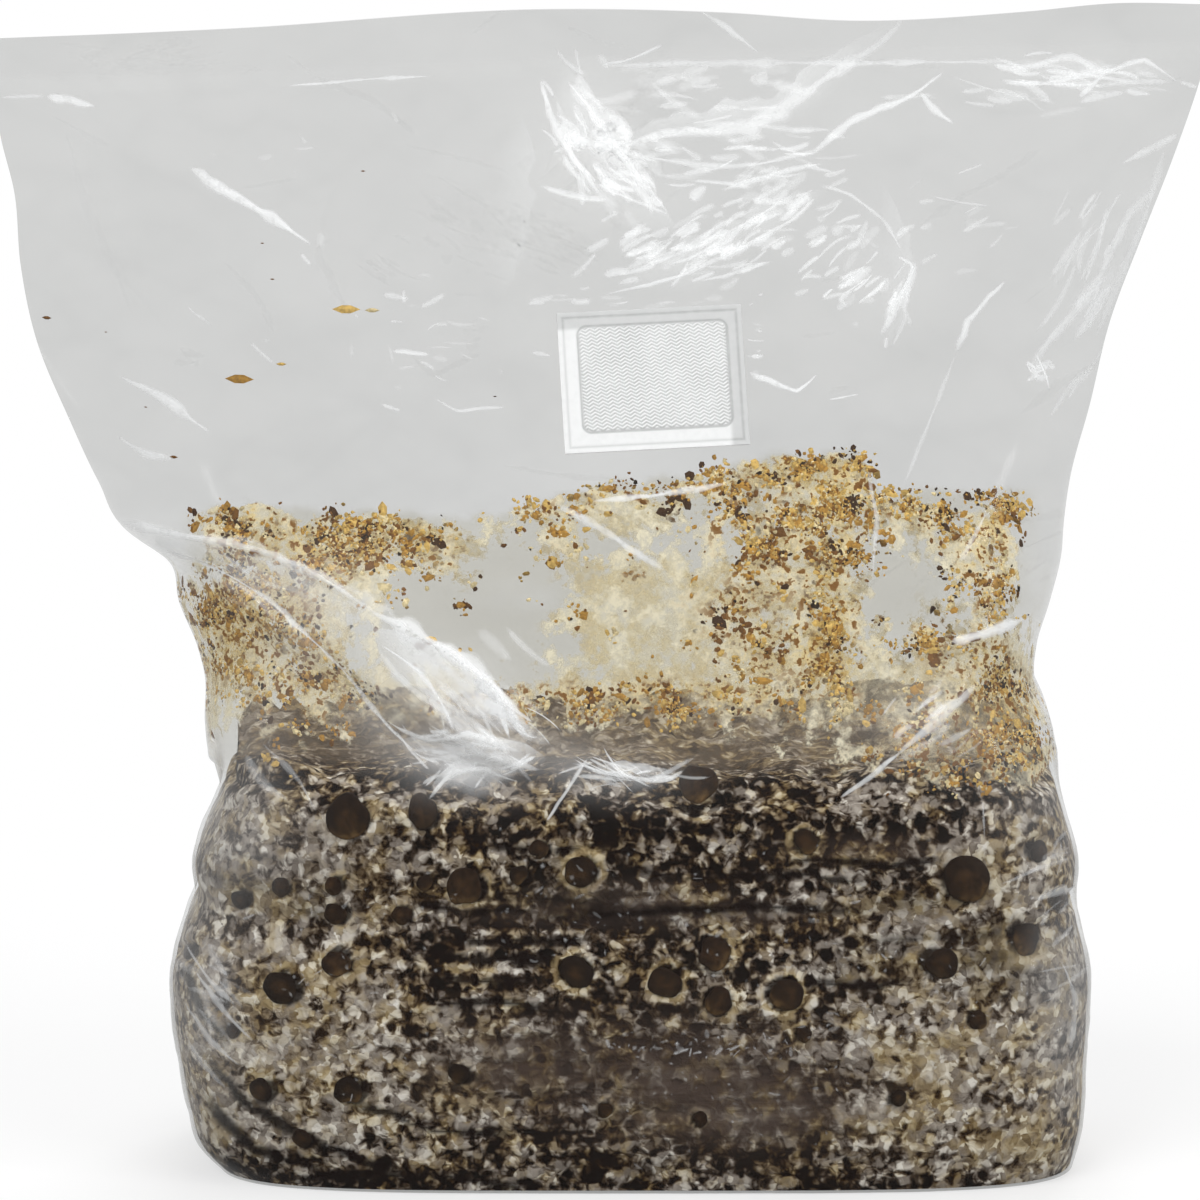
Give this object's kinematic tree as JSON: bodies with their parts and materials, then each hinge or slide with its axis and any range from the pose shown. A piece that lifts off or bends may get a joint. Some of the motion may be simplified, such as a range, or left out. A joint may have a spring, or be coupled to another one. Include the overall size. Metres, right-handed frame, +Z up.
{
  "type": "cordyceps mushroom grow bag",
  "caption": "Clear gusseted film bag with a welded top and a filter patch, standing on a block of overgrown substrate that fills its lower third.",
  "frame": {"origin": "middle of the bag's box, on the surface that the bag stands on", "axes": "+Z up from the base to the welded top, front panel with the filter patch towards -Y, +X to the right of someone looking at the front"},
  "size_m": [0.323, 0.119, 0.3131],
  "materials": {
    "film": "clear, crumpled polypropylene film with a soft haze",
    "substrate": "dark damp sawdust and grain with grey-white mycelium over it",
    "filter": "white porous membrane with an embossed field and a welded border"
  },
  "bodies": {
    "root": {"bag_film": "film", "substrate_block": "substrate", "filter_patch": "filter"}
  },
  "joints": []
}
